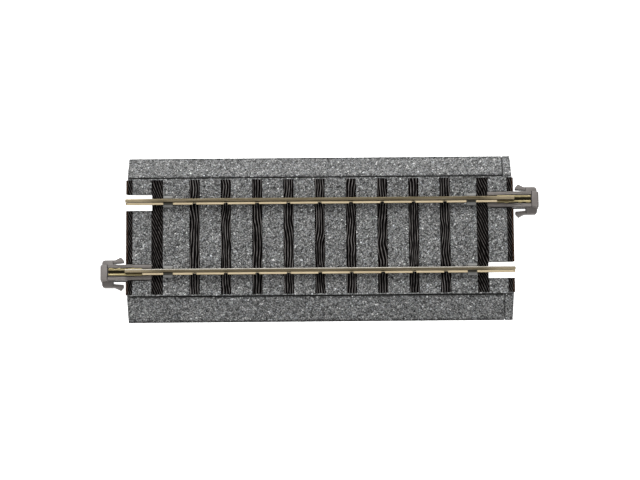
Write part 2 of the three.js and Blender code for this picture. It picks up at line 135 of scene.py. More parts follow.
def new_piece(name, bm, body, slot, material, *replaced, smooth=None):
    """A piece from a mesh in millimetres, riding on a body. smooth is an edge angle in degrees."""
    # Bevels and extrusions come out in another order on each run.
    bm.verts.sort(key=lambda vert: order_key(vert.co))
    bm.faces.sort(key=lambda face: order_key(face.calc_center_median()))
    bmesh.ops.recalc_face_normals(bm, faces=bm.faces)
    bmesh.ops.scale(bm, vec=(MM, MM, MM), verts=bm.verts)
    mesh = bpy.data.meshes.new(name)
    bm.to_mesh(mesh)
    bm.free()
    mesh.materials.append(material)
    piece = bpy.data.objects.new(name, mesh)
    bpy.context.scene.collection.objects.link(piece)
    if smooth is not None:
        mesh.shade_smooth()
        mesh.set_sharp_from_angle(angle=math.radians(smooth))
    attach(piece, body)
    if replaced:
        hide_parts(*replaced)
    return piece


def grid_lines(start, end, step, stops=()):
    """Lines from start to end, about a step apart, with one on each stop."""
    marks = sorted({start, end, *(s for s in stops if start < s < end)})
    lines = []
    for a, b in zip(marks, marks[1:]):
        count = max(1, round((b - a) / step))
        lines.extend(a + (b - a) * i / count for i in range(count))
    lines.append(end)
    return np.array(lines)


def scatter(i, j, seed):
    """A number from 0 to 1 for each cell of a lattice, always the same for the same cell.

    The factors only have to be large and unrelated."""
    wave = np.sin(i * 127.1 + j * 311.7 + seed * 74.7) * 43758.5453
    return wave - np.floor(wave)


STONE_BANK = 0.45  # width of a stone's sloping edge, as a share of the pitch
LOWEST_STONE = 0.25  # level of the lowest stone, where the highest is 1
FINE_PITCH = 0.55  # pitch of the fine stones, as a share of the coarse ones'
COARSE_SHARE = 0.68
FINE_SHARE = 0.32


def stones(x, y, pitch, seed):
    """Heights from 0 to 1 of stones packed side by side, each with its own level."""
    u, v = x / pitch, y / pitch
    near = np.full(u.shape, 9.0)
    next_near = np.full(u.shape, 9.0)
    level = np.zeros(u.shape)
    for du in (-1, 0, 1):
        for dv in (-1, 0, 1):
            i, j = np.floor(u) + du, np.floor(v) + dv
            away = np.hypot(i + scatter(i, j, seed) - u, j + scatter(i, j, seed + 1) - v)
            nearest = away < near
            next_near = np.where(nearest, near, np.minimum(next_near, away))
            level = np.where(nearest, scatter(i, j, seed + 2), level)
            near = np.where(nearest, away, near)
    bank = np.clip((next_near - near) / STONE_BANK, 0, 1)
    return (LOWEST_STONE + (1 - LOWEST_STONE) * level) * bank


def grain_height(x, y, seed):
    """How high the grains stand at x, y: coarse stones with fine ones on them."""
    coarse = stones(x, y, GRAIN_PITCH, seed)
    fine = stones(x + 0.3, y + 0.2, GRAIN_PITCH * FINE_PITCH, seed + 5)
    return GRAIN_TALL * (COARSE_SHARE * coarse + FINE_SHARE * fine)


def inside(x, y, rectangles):
    """Whether each point lies in one of the rectangles."""
    covered = np.zeros(x.shape, bool)
    for x0, x1, y0, y1 in rectangles:
        covered |= (x > x0) & (x < x1) & (y > y0) & (y < y1)
    return covered


def rounded_block(bm, low, high, radius, segments=3):
    """A closed block with every edge rounded."""
    made = bmesh.ops.create_cube(bm, size=1)["verts"]
    size = Vector(high) - Vector(low)
    bmesh.ops.scale(bm, vec=size, verts=made)
    bmesh.ops.translate(bm, vec=(Vector(high) + Vector(low)) / 2, verts=made)
    edges = list(dict.fromkeys(edge for vert in made for edge in vert.link_edges))
    bmesh.ops.bevel(
        bm, geom=edges, offset=radius, segments=segments, profile=0.5, affect="EDGES"
    )


def rounded_profile(corners, radii):
    """A closed outline through corners, each rounded to its radius."""
    points = []
    count = len(corners)
    for k in range(count):
        here = Vector(corners[k])
        to_last = Vector(corners[k - 1]) - here
        to_next = Vector(corners[(k + 1) % count]) - here
        half = to_last.angle(to_next) / 2
        reach = min(radii[k] / math.tan(half), to_last.length * 0.49, to_next.length * 0.49)
        radius = reach * math.tan(half)
        if radius < 0.001:
            points.append(here)
            continue
        start = here + to_last.normalized() * reach
        end = here + to_next.normalized() * reach
        inward = (to_last.normalized() + to_next.normalized()).normalized()
        centre = here + inward * (radius / math.sin(half))
        for i in range(PROFILE_STEPS + 1):
            blend = i / PROFILE_STEPS
            spoke = (start - centre).slerp(end - centre, blend)
            points.append(centre + spoke.normalized() * radius)
    return points


def sweep(bm, sections):
    """A closed solid through rings of points, each ring with the same number of points."""
    rings = [[bm.verts.new(point) for point in ring] for ring in sections]
    for a, b in zip(rings, rings[1:]):
        for k in range(len(a)):
            after = (k + 1) % len(a)
            bm.faces.new((a[k], b[k], b[after], a[after]))
    bm.faces.new(rings[0])
    bm.faces.new(rings[-1])


# ---- Ballast ----


def ballast_slab(xs, ss, holes, place, seed):
    """A closed granular slab on the grid of xs along the track and ss across it.

    place turns along, across and height arrays into points."""
    along, across = np.meshgrid(xs, ss, indexing="ij")
    height = grain_height(along, across, seed)
    middle_x, middle_s = np.meshgrid((xs[1:] + xs[:-1]) / 2, (ss[1:] + ss[:-1]) / 2, indexing="ij")
    solid = ~inside(middle_x, middle_s, holes)
    used = np.zeros(along.shape, bool)
    for di in (0, 1):
        for dj in (0, 1):
            used[di : di + solid.shape[0], dj : dj + solid.shape[1]] |= solid
    bm = bmesh.new()
    corner = {}
    for i, j in zip(*np.nonzero(used)):
        corner[i, j] = bm.verts.new((along[i, j], across[i, j], height[i, j]))
    for i, j in zip(*np.nonzero(solid)):
        bm.faces.new((corner[i, j], corner[i + 1, j], corner[i + 1, j + 1], corner[i, j + 1]))
    rim = [edge for edge in bm.edges if edge.is_boundary]
    skirt = bmesh.ops.extrude_edge_only(bm, edges=rim)["geom"]
    for vert in skirt:
        if isinstance(vert, bmesh.types.BMVert):
            vert.co.z = -GRAIN_SINK
    low_rim = [edge for edge in bm.edges if edge.is_boundary]
    bmesh.ops.triangle_fill(bm, edges=low_rim, normal=(0, 0, -1))
    flat = np.array([vert.co for vert in bm.verts])
    for vert, point in zip(bm.verts, place(*flat.T)):
        vert.co = point
    return bm


def deck_place(x, y, height):
    """Places a slab on the flat deck."""
    return np.column_stack([x, y, DECK_TOP + height])


def slope_place(side, inner, edge_down, drafted_end):
    """Places a slab on a sloping flank. Its across values run from the top corner down.

    Also gives the across values of the flank's corners. The top corner is at 0."""
    corners = np.array(
        [
            [inner, SHOULDER_TOP - edge_down],
            [inner, SHOULDER_TOP],
            [BASE_HALF_WIDTH, SHOULDER_LIP],
            [BASE_HALF_WIDTH, 0.0],
        ]
    )
    lengths = np.hypot(*np.diff(corners, axis=0).T)
    marks = np.concatenate([[0], np.cumsum(lengths)]) - lengths[0]
    spread = 0.25  # the outward direction turns over this distance at each side of a corner
    # The grains are lower near the corners, and full height between them.
    fade_marks = [marks[0], marks[1], 0.7, marks[2] - 0.8, marks[2]]
    fade = [0.1, 0.3, 1, 1, 0.2]

    def on_profile(s):
        return np.interp(s, marks, corners[:, 0]), np.interp(s, marks, corners[:, 1])

    def place(x, s, height):
        s = np.clip(s, marks[0], marks[-1])
        y, z = on_profile(s)
        before = on_profile(np.clip(s - spread, marks[0], marks[-1]))
        after = on_profile(np.clip(s + spread, marks[0], marks[-1]))
        dy, dz = after[0] - before[0], after[1] - before[1]
        size = np.hypot(dy, dz)
        height = height * np.interp(s, fade_marks, fade)
        y = y - dz / size * height
        z = np.maximum(z + dy / size * height, GROUND_GAP)
        lean = END_DRAFT * (1 - np.clip(z / SHOULDER_TOP, 0, 1))
        near_end = np.clip(1 - np.abs(x - drafted_end), 0, 1)
        x = x - np.sign(drafted_end) * lean * near_end
        return np.column_stack([x, side * y, z])

    return place, marks


def tie_rectangles():
    """The rooms of the ties, the notches and the clips in the deck, as x0, x1, y0, y1."""
    half = TIE_HALF_LENGTH + GRAIN_GAP
    rooms = []
    for i in range(-TIES_EACH_SIDE, TIES_EACH_SIDE + 1):
        x = i * TIE_PITCH
        rooms.append((x - TIE_WIDTH / 2 - GRAIN_GAP, x + TIE_WIDTH / 2 + GRAIN_GAP, -half, half))
    for end, _ in ENDS:
        wide = sorted((end * (WIDE_TIE_INNER - GRAIN_GAP), end * (WIDE_TIE_OUTER + GRAIN_GAP)))
        last = sorted((end * (END_TIE_INNER - GRAIN_GAP), end * (DECK_END + 1)))
        notch = sorted((end * NOTCH_INNER, end * (DECK_END + 1)))
        clip = sorted((end * (CLIP_LOW.x - GRAIN_GAP), end * (CLIP_HIGH.x + GRAIN_GAP)))
        rooms.append((*wide, -half, half))
        rooms.append((*last, -half, half))
        for side in (-1, 1):
            rail_y = side * RAIL_Y
            clip_half = (CLIP_HIGH.y - CLIP_LOW.y) / 2 + GRAIN_GAP
            rooms.append((*notch, rail_y - NOTCH_HALF_WIDTH, rail_y + NOTCH_HALF_WIDTH))
            rooms.append((*clip, rail_y - clip_half, rail_y + clip_half))
    return rooms


DECK_SEED = 3
SHOULDER_SEED = 11  # moved by the side's sign, as the next one is
FLANGE_SEED = 17


def add_ballast(material, flange_material):
    """The grains on the deck, on the two shoulders and on the roadbed's own two flanges."""
    rooms = tie_rectangles()
    stops_x = [x for room in rooms for x in room[:2]]
    stops_y = [y for room in rooms for y in room[2:]]
    xs = grid_lines(-DECK_END, DECK_END, GRAIN_STEP, stops_x)
    ys = grid_lines(-DECK_SIDE, DECK_SIDE, GRAIN_STEP, stops_y)
    deck = ballast_slab(xs, ys, rooms, deck_place, DECK_SEED)
    new_piece("deck_ballast", deck, "track", "ballast", material, smooth=75)

    for side, word in SIDES:
        place, marks = slope_place(side, SHOULDER_INNER, SHOULDER_EDGE, -DECK_END)
        xs = grid_lines(-DECK_END, SHOULDER_END, GRAIN_STEP)
        ss = grid_lines(marks[0], marks[-1], GRAIN_STEP, marks[1:-1])
        slab = ballast_slab(xs, ss, (), place, SHOULDER_SEED + side)
        body = word + "_shoulder"
        new_piece("shoulder_ballast_" + word, slab, body, "ballast", material, smooth=75)

        place, marks = slope_place(side, DECK_SIDE, 0, DECK_END)
        xs = grid_lines(FLANGE_START, DECK_END, GRAIN_STEP)
        ss = grid_lines(marks[1], marks[-1], GRAIN_STEP, marks[1:-1])
        slab = ballast_slab(xs, ss, (), place, FLANGE_SEED + side)
        new_piece("flange_ballast_" + word, slab, "track", "ballast", flange_material, smooth=75)


def add_seam_backing(material):
    """The roadbed's wall behind a shoulder's end seam and its ledge under the long seam, near-black as
    painted shadow.
    """
    wall_x = (SHOULDER_END + FLANGE_START) / 2
    wall_inner = DECK_SIDE - 0.2
    wall_outer = BASE_HALF_WIDTH - 0.15
    bottom = 0.1
    outline = [
        (wall_inner, bottom),
        (wall_outer, bottom),
        (wall_outer, SHOULDER_LIP - 0.15),
        (wall_inner, SHOULDER_TOP - 0.45),
    ]
    profile = rounded_profile(outline, [0.05] * len(outline))
    ledge_top = 0.6
    for side, word in SIDES:
        bm = bmesh.new()
        sections = []
        for x in (wall_x - 0.06, wall_x - 0.03, wall_x + 0.3):
            sections.append([(x, side * y, z) for y, z in profile])
        sweep(bm, sections)
        y0, y1 = sorted((side * (DECK_SIDE - 0.1), side * (SHOULDER_INNER - LEDGE_GAP)))
        low = (-DECK_END + 0.4, y0, bottom)
        high = (SHOULDER_END - 0.2, y1, ledge_top)
        rounded_block(bm, low, high, 0.04)
        new_piece("seam_wall_" + word, bm, "track", "ballast", material, smooth=40)


# ---- Ties ----

TIE_EDGE = 0.14  # radius of a tie's upper edges
GROOVE_SPACING = 0.3
GROOVE_DEPTH = 0.1
TIE_MESH = (0.09, 0.3)  # spacing of a tie's mesh across its grain and along it


def tie_surface(x, y, low, high, seed):
    """How far the top of a tie lies below its plane: rounded edges and wandering grain."""
    drop = np.zeros(x.shape)
    for value, a, b in ((x, low[0], high[0]), (y, low[1], high[1])):
        into = np.clip(np.minimum(value - a, b - value), 0, TIE_EDGE)
        drop += TIE_EDGE - np.sqrt(TIE_EDGE**2 - (TIE_EDGE - into) ** 2)
    random = np.random.default_rng(seed)
    width = high[0] - low[0]
    tie_slant = seed % 3 * 0.02 - 0.02
    for k in range(int(width / GROOVE_SPACING) + 3):
        start = low[0] + (k - 1 + random.uniform(0, 0.8)) * GROOVE_SPACING
        slant = random.uniform(-0.035, 0.035) + tie_slant
        wave = random.uniform(0.05, 0.16)
        length = random.uniform(5, 11)
        phase = random.uniform(0, 2 * math.pi)
        path = start + slant * y + wave * np.sin(2 * math.pi * y / length + phase)
        thin = random.uniform(0.05, 0.1)
        fade = 0.55 + 0.45 * np.sin(y / random.uniform(1.5, 4) + phase * 3)
        drop += GROOVE_DEPTH * fade * np.exp(-(((x - path) / thin) ** 2))
    return np.minimum(drop, 2 * TIE_EDGE)


def grained_block(bm, low, high, seed):
    """A closed block with a grained top and rounded upper edges."""
    edge_stops = [TIE_EDGE * share for share in (0.12, 0.4, 1)]
    lines = []
    for a, b, step in zip(low, high, TIE_MESH):
        stops = [a + d for d in edge_stops] + [b - d for d in edge_stops]
        lines.append(grid_lines(a, b, step, stops))
    xs, ys = lines
    x, y = np.meshgrid(xs, ys, indexing="ij")
    z = high[2] - tie_surface(x, y, low, high, seed)
    rows = [
        [bm.verts.new((x[i, j], y[i, j], z[i, j])) for j in range(len(ys))]
        for i in range(len(xs))
    ]
    for a, b in zip(rows, rows[1:]):
        for j in range(len(ys) - 1):
            bm.faces.new((a[j], b[j], b[j + 1], a[j + 1]))
    ring = [row[0] for row in rows] + rows[-1][1:] + [row[-1] for row in rows[-2::-1]]
    ring += rows[0][-2:0:-1]
    lower = [bm.verts.new((v.co.x, v.co.y, low[2])) for v in ring]
    for k, vert in enumerate(ring):
        after = (k + 1) % len(ring)
        bm.faces.new((ring[after], vert, lower[k], lower[after]))
    bm.faces.new(lower)


SPIKE_LENGTH = 0.9
SPIKE_WIDTH = 0.45
SPIKE_HOOK = 0.3  # reach over the rail's foot, and thickness, of a spike's head
FOOT_HALF = (RAIL_HIGH.y - RAIL_LOW.y) / 2
FOOT_ROOT = 0.42  # height of a rail's foot where it meets the stem


def add_spikes(bm, x, rail_y):
    """A spike at each side of a rail's foot: a post, and a head hooked over the foot."""
    head_low = RAIL_BOTTOM + FOOT_ROOT + FIT_GAP
    half = SPIKE_LENGTH / 2
    for side in (-1, 1):
        inner = rail_y + side * (FOOT_HALF + FIT_GAP)
        outer = inner + side * SPIKE_WIDTH
        hook = inner - side * SPIKE_HOOK
        y0, y1 = sorted((inner, outer))
        rounded_block(bm, (x - half, y0, TIE_BOTTOM), (x + half, y1, head_low + 0.15), 0.05, 2)
        y0, y1 = sorted((hook, outer))
        top = head_low + SPIKE_HOOK
        rounded_block(bm, (x - half, y0, head_low), (x + half, y1, top), 0.07, 2)


TIE_SEED = 40  # moved by the tie's number from the middle one
END_TIES_SEED = 60


def add_ties(material):
    """The nine ties between the ends, with their spikes and the webs under the rails."""
    bm = bmesh.new()
    for i in range(-TIES_EACH_SIDE, TIES_EACH_SIDE + 1):
        x = i * TIE_PITCH
        low = (x - TIE_WIDTH / 2, -TIE_HALF_LENGTH, TIE_BOTTOM)
        high = (x + TIE_WIDTH / 2, TIE_HALF_LENGTH, TIE_TOP)
        grained_block(bm, low, high, TIE_SEED + i)
        for rail_y in (-RAIL_Y, RAIL_Y):
            add_spikes(bm, x, rail_y)
    reach = TIES_EACH_SIDE * TIE_PITCH
    for rail_y in (-RAIL_Y, RAIL_Y):
        low = (-reach, rail_y - WEB_WIDTH / 2, STRIP_LOW.z)
        high = (reach, rail_y + WEB_WIDTH / 2, WEB_TOP)
        rounded_block(bm, low, high, 0.1)
    new_piece("grained_ties", bm, "track", "tie", material, "tie_strip", smooth=50)


def add_end_ties(material):
    """At each end the wide tie, cut back behind the notches, and the half ties on webs."""
    for end, word in ENDS:
        bm = bmesh.new()
        end_blocks(bm, end)
        node = "end_ties_" + word
        new_piece("grained_" + node, bm, "track", "tie", material, node, smooth=50)


def end_blocks(bm, end):
    """The blocks of one end's ties and webs."""

    def block(x0, x1, y0, y1, z0, z1, seed):
        x0, x1 = sorted((end * x0, end * x1))
        grained_block(bm, (x0, y0, z0), (x1, y1, z1), END_TIES_SEED + seed)

    half = TIE_HALF_LENGTH
    notch_in = RAIL_Y - NOTCH_HALF_WIDTH
    notch_out = RAIL_Y + NOTCH_HALF_WIDTH
    block(WIDE_TIE_INNER, NOTCH_INNER, -half, half, TIE_BOTTOM, TIE_TOP, 0)
    strips = [(notch_out, half), (-notch_in, notch_in), (-half, -notch_out)]
    for k, (y0, y1) in enumerate(strips):
        block(NOTCH_INNER - OVERLAP, WIDE_TIE_OUTER, y0, y1, TIE_BOTTOM, TIE_TOP - 0.01, 1 + k)
        block(END_TIE_INNER, TIE_END, y0, y1, END_TIE_BOTTOM, TIE_TOP, 6 + k)
    for side in (-1, 1):
        for y0, y1 in END_WEBS:
            y0, y1 = sorted((side * y0, side * y1))
            x0, x1 = sorted((end * (WIDE_TIE_INNER + 1), end * (END_TIE_INNER + 1)))
            rounded_block(bm, (x0, y0, TIE_BOTTOM + 0.01), (x1, y1, WEB_TOP), 0.08)
            x0, x1 = sorted((end * END_TIE_INNER, end * (END_TIE_INNER + 1)))
            rounded_block(bm, (x0, y0, TIE_BOTTOM), (x1, y1, END_TIE_BOTTOM + 0.3), 0.05)


# ---- Rails ----

HEAD_HALF = 0.4
HEAD_HEIGHT = 0.62
STEM_HALF = 0.2
FOOT_EDGE = 0.3  # height of the foot at its edge
END_EASE = 0.05  # the chamfer of a rail's ends
EDGE_HIGHLIGHT_WIDTH = 0.25  # of the painted highlight along the near rail's inner edge


def rail_outline():
    """A rail's section: foot, stem and head, all with rounded corners."""
    z = RAIL_BOTTOM
    head = RAIL_TOP - HEAD_HEIGHT
    right = [
        ((FOOT_HALF, z), 0.04),
        ((FOOT_HALF, z + FOOT_EDGE), 0.1),
        ((STEM_HALF, z + FOOT_ROOT), 0.16),
        ((STEM_HALF, head), 0.12),
        ((HEAD_HALF, head + 0.07), 0.06),
        ((HEAD_HALF, RAIL_TOP), 0.09),
    ]
    left = [((-y, height), radius) for (y, height), radius in reversed(right)]
    corners, radii = zip(*(right + left))
    return rounded_profile(corners, radii)


def add_rails(material):
    """The two rails, with eased ends."""
    outline = rail_outline()
    middle = Vector((0, (RAIL_BOTTOM + RAIL_TOP) / 2))
    inner = RAIL_END - END_EASE
    stations = [-RAIL_END, -inner, *grid_lines(-inner + 1, inner - 1, 2.0), inner, RAIL_END]
    for side, word in SIDES:
        sections = []
        for x in stations:
            inset = END_EASE if abs(x) == RAIL_END else 0
            ring = []
            for point in outline:
                out = (point - middle).normalized() * inset
                ring.append((x, side * RAIL_Y + point.x - out.x, point.y - out.y))
            sections.append(ring)
        bm = bmesh.new()
        sweep(bm, sections)
        new_piece("drawn_rail_" + word, bm, "track", "rail", material, "rail_" + word, smooth=40)


# ---- Joiners ----


def turned(end, point):
    """A point drawn at the right-hand end, or turned half a turn to the left-hand end."""
    x, y, z = point
    return (end * x, end * y, z)


# Along the track from the middle of the section, and across it from the joiner's rail.
PRONG_OUTER = 1.88
PRONG_INNER = 1.03
PRONG_DEEP = 0.3  # how far a prong reaches below the floor's top
FLOOR_HALF = 1.8
NOSE_INNER = 51.3
NOSE_FOOT_HALF = 2.0
NOSE_TIP_HALF = 1.6
WING_INNER = 50.0
WING_OUTER = 52.85
WING_HALF = 3.4
GUIDE_INNER = 41.5
GUIDE_HALF = 3.1
GUIDE_TOP = 2.9
LEDGE_START = 45.2  # the prongs are stepped down from here to their inner ends
LEDGE_DROP = 0.09


def block_at(bm, end, x, y, z, radius):
    """A rounded block at an end, with y measured from the joiner's own rail."""
    a = turned(end, (x[0], RAIL_Y + y[0], z[0]))
    b = turned(end, (x[1], RAIL_Y + y[1], z[1]))
    low = tuple(min(p, q) for p, q in zip(a, b))
    high = tuple(max(p, q) for p, q in zip(a, b))
    rounded_block(bm, low, high, radius)


def plan_block(bm, end, corners, bottom, top, ease, side=1):
    """A closed block drawn in plan, y from the joiner's rail, with eased upper and lower edges.

    corners: (x, y, radius) round the outline. side -1 draws it mirrored across the rail."""
    outline = rounded_profile([(x, y) for x, y, _ in corners], [radius for *_, radius in corners])
    middle = sum(outline, Vector((0, 0))) / len(outline)
    angles = [math.pi / 2 * i / (PROFILE_STEPS - 1) for i in range(PROFILE_STEPS)]
    lower_edge = [(ease * (1 - math.sin(a)), bottom + ease * (1 - math.cos(a))) for a in angles]
    upper_edge = [(ease * (1 - math.cos(a)), top - ease * (1 - math.sin(a))) for a in angles]
    sections = []
    for inset, z in lower_edge + upper_edge:
        ring = []
        for k, point in enumerate(outline):
            along = outline[(k + 1) % len(outline)] - outline[k - 1]
            inward = Vector((-along.y, along.x)).normalized()
            if inward.dot(middle - point) < 0:
                inward = -inward
            moved = point + inward * inset
            ring.append(turned(end, (moved.x, RAIL_Y + side * moved.y, z)))
        sections.append(ring)
    sweep(bm, sections)


def add_housings(material):
    """Each housing: two prongs beside the rail, a floor, a nose, a wing and a guide below."""
    bottom, top = HOUSING_LOW.z, HOUSING_HIGH.z
    outer = HOUSING_HIGH.x
    inner = NOTCH_INNER + 0.04  # just clear of the notch's end
    floor_top = FISHPLATE_LOW.z - FIT_GAP
    prong_bottom = floor_top - PRONG_DEEP
    prong = [
        (LEDGE_START, PRONG_INNER, 0.02),
        (NOSE_INNER + OVERLAP, PRONG_INNER, 0.02),
        (NOSE_INNER + OVERLAP, PRONG_OUTER, 0.02),
        (LEDGE_START, PRONG_OUTER, 0.1),
    ]
    prong_end = [
        (inner, PRONG_INNER - 0.1, 0.25),
        (LEDGE_START + OVERLAP, PRONG_INNER - 0.04, 0.02),
        (LEDGE_START + OVERLAP, PRONG_OUTER - 0.03, 0.02),
        (inner + 0.15, PRONG_OUTER - 0.03, 0.5),
        (inner, PRONG_OUTER - 0.35, 0.4),
    ]
    nose = [
        (NOSE_INNER, -PRONG_OUTER, 0.05),
        (outer - 0.35, -PRONG_OUTER, 0.3),
        (outer - 0.35, PRONG_OUTER, 0.3),
        (NOSE_INNER, PRONG_OUTER, 0.05),
    ]
    nose_foot = [
        (NOSE_INNER, -NOSE_FOOT_HALF, 0.05),
        (outer - 0.1, -NOSE_FOOT_HALF, 0.25),
        (outer, -NOSE_TIP_HALF, 0.2),
        (outer, NOSE_TIP_HALF, 0.2),
        (outer - 0.1, NOSE_FOOT_HALF, 0.25),
        (NOSE_INNER, NOSE_FOOT_HALF, 0.05),
    ]
    wing = [
        (WING_INNER, -WING_HALF, 0.1),
        (WING_OUTER, -WING_HALF, 0.8),
        (WING_OUTER, WING_HALF, 0.8),
        (WING_INNER, WING_HALF, 0.1),
    ]
    floor_y = (-FLOOR_HALF, FLOOR_HALF)
    guide_y = (-GUIDE_HALF, GUIDE_HALF)
    for end, word in ENDS:
        bm = bmesh.new()
        for side in (-1, 1):
            plan_block(bm, end, prong, prong_bottom, top, 0.1, side)
            plan_block(bm, end, prong_end, prong_bottom, top - LEDGE_DROP, 0.14, side)
            ridge_y = sorted((side * (PRONG_OUTER - 0.3), side * PRONG_OUTER))
            ridge_x = (LEDGE_START + 0.2, NOSE_INNER)
            block_at(bm, end, ridge_x, ridge_y, (top - 0.4, top + 0.03), 0.05)
        block_at(bm, end, (inner, NOSE_INNER + 0.2), floor_y, (bottom, floor_top), 0.1)
        plan_block(bm, end, nose, bottom + 0.1, top, 0.14)
        plan_block(bm, end, nose_foot, bottom, top - 0.7, 0.2)
        plan_block(bm, end, wing, bottom, GUIDE_TOP, 0.16)
        block_at(bm, end, (GUIDE_INNER, DECK_END), guide_y, (bottom, GUIDE_TOP), 0.1)
        block_at(bm, end, (DECK_END - 1, WING_INNER + 1), floor_y, (bottom, GUIDE_TOP), 0.1)
        node = "joiner_housing_" + word
        body = word + "_joiner"
        new_piece("housing_" + word, bm, body, "joiner_plastic", material, node, smooth=40)


LIP_GAP_HALF = 0.36
GRIP_ON_RAIL = 0.83  # half the sheet's width where it holds a rail's foot
GRIP_AHEAD = 0.79  # and in front of the rail's end
FOLD_RADIUS = 0.12
FOLD_STEPS = 4
SCALLOPS = ((45.3, 0.55), (48.55, 0.5), (50.5, 0.65))  # middle and half length of each flare
FLARE = 0.16  # of the near lip, at a scallop's middle
FAR_FLARE = 0.03  # of the far lip, all along


def flare_at(x):
    """How much of the near lip's flare there is at x, from 0 to 1."""
    shares = [0]
    for middle, half in SCALLOPS:
        if abs(x - middle) < half:
            shares.append(1 - ((x - middle) / half) ** 4)
    return max(shares)


def fishplate_points(x):
    """The middle line of the folded sheet at x, from one lip's edge round to the other's."""
    bottom = FISHPLATE_LOW.z + FISHPLATE_SHEET / 2
    top = FISHPLATE_HIGH.z - FISHPLATE_SHEET / 2
    grip = GRIP_ON_RAIL if x < RAIL_END else GRIP_AHEAD
    angles = [math.pi / 2 * i / FOLD_STEPS for i in range(FOLD_STEPS + 1)]
    halves = []
    for side in (-1, 1):
        fold = grip + (FLARE * flare_at(x) if side < 0 else FAR_FLARE) - FOLD_RADIUS
        line = [(LIP_GAP_HALF, top - 0.1), (LIP_GAP_HALF + 0.12, top - 0.02)]
        for angle in angles:
            away, up = FOLD_RADIUS * math.sin(angle), FOLD_RADIUS * math.cos(angle)
            line.append((fold + away, top - FOLD_RADIUS + up))
        for angle in angles:
            away, down = FOLD_RADIUS * math.cos(angle), FOLD_RADIUS * math.sin(angle)
            line.append((fold + away, bottom + FOLD_RADIUS - down))
        halves.append([(side * y, z) for y, z in line])
    return halves[0] + halves[1][::-1]


def add_fishplates(material):
    """The folded sheet joiners, each a surface that a modifier makes as thick as the sheet."""
    stations = grid_lines(FISHPLATE_LOW.x, FISHPLATE_HIGH.x, 0.1)
    for end, word in ENDS:
        bm = bmesh.new()
        lines = []
        for x in stations:
            line = [turned(end, (x, RAIL_Y + y, z)) for y, z in fishplate_points(x)]
            lines.append([bm.verts.new(point) for point in line])
        for a, b in zip(lines, lines[1:]):
            for k in range(len(a) - 1):
                bm.faces.new((a[k], b[k], b[k + 1], a[k + 1]))
        name, node = "folded_joiner_" + word, "rail_joiner_" + word
        body = word + "_joiner"
        piece = new_piece(name, bm, body, "joiner_metal", material, node, smooth=40)
        thicken = piece.modifiers.new("sheet", "SOLIDIFY")
        thicken.thickness = FISHPLATE_SHEET * MM
        thicken.offset = 0


ARM_ROOT = 50.25
ARM_TIP = ARM_LOW.x

# The latch arm in plan, as x, y and radius: a barb that slopes to its tip.
ARM_CORNERS = [
    (ARM_ROOT, 2.45, 0.05),
    (ARM_ROOT, 3.38, 0.05),
    (49.65, 3.4, 0.25),
    (48.25, 4.1, 0.16),
    (ARM_TIP, 3.25, 0.2),
    (ARM_TIP, 2.75, 0.2),
    (49.2, 2.6, 0.4),
]


def add_arms(material):
    """The two springing arms of each housing."""
    for end, end_word in ENDS:
        for side in (-1, 1):
            word = end_word + "_" + ("far" if side * end > 0 else "near")
            bm = bmesh.new()
            plan_block(bm, end, ARM_CORNERS, ARM_LOW.z, ARM_HIGH.z, 0.12, side)
            name, node = "barbed_arm_" + word, "latch_arm_" + word
            new_piece(name, bm, word + "_arm", "joiner_plastic", material, node, smooth=40)


# ---- Materials ----


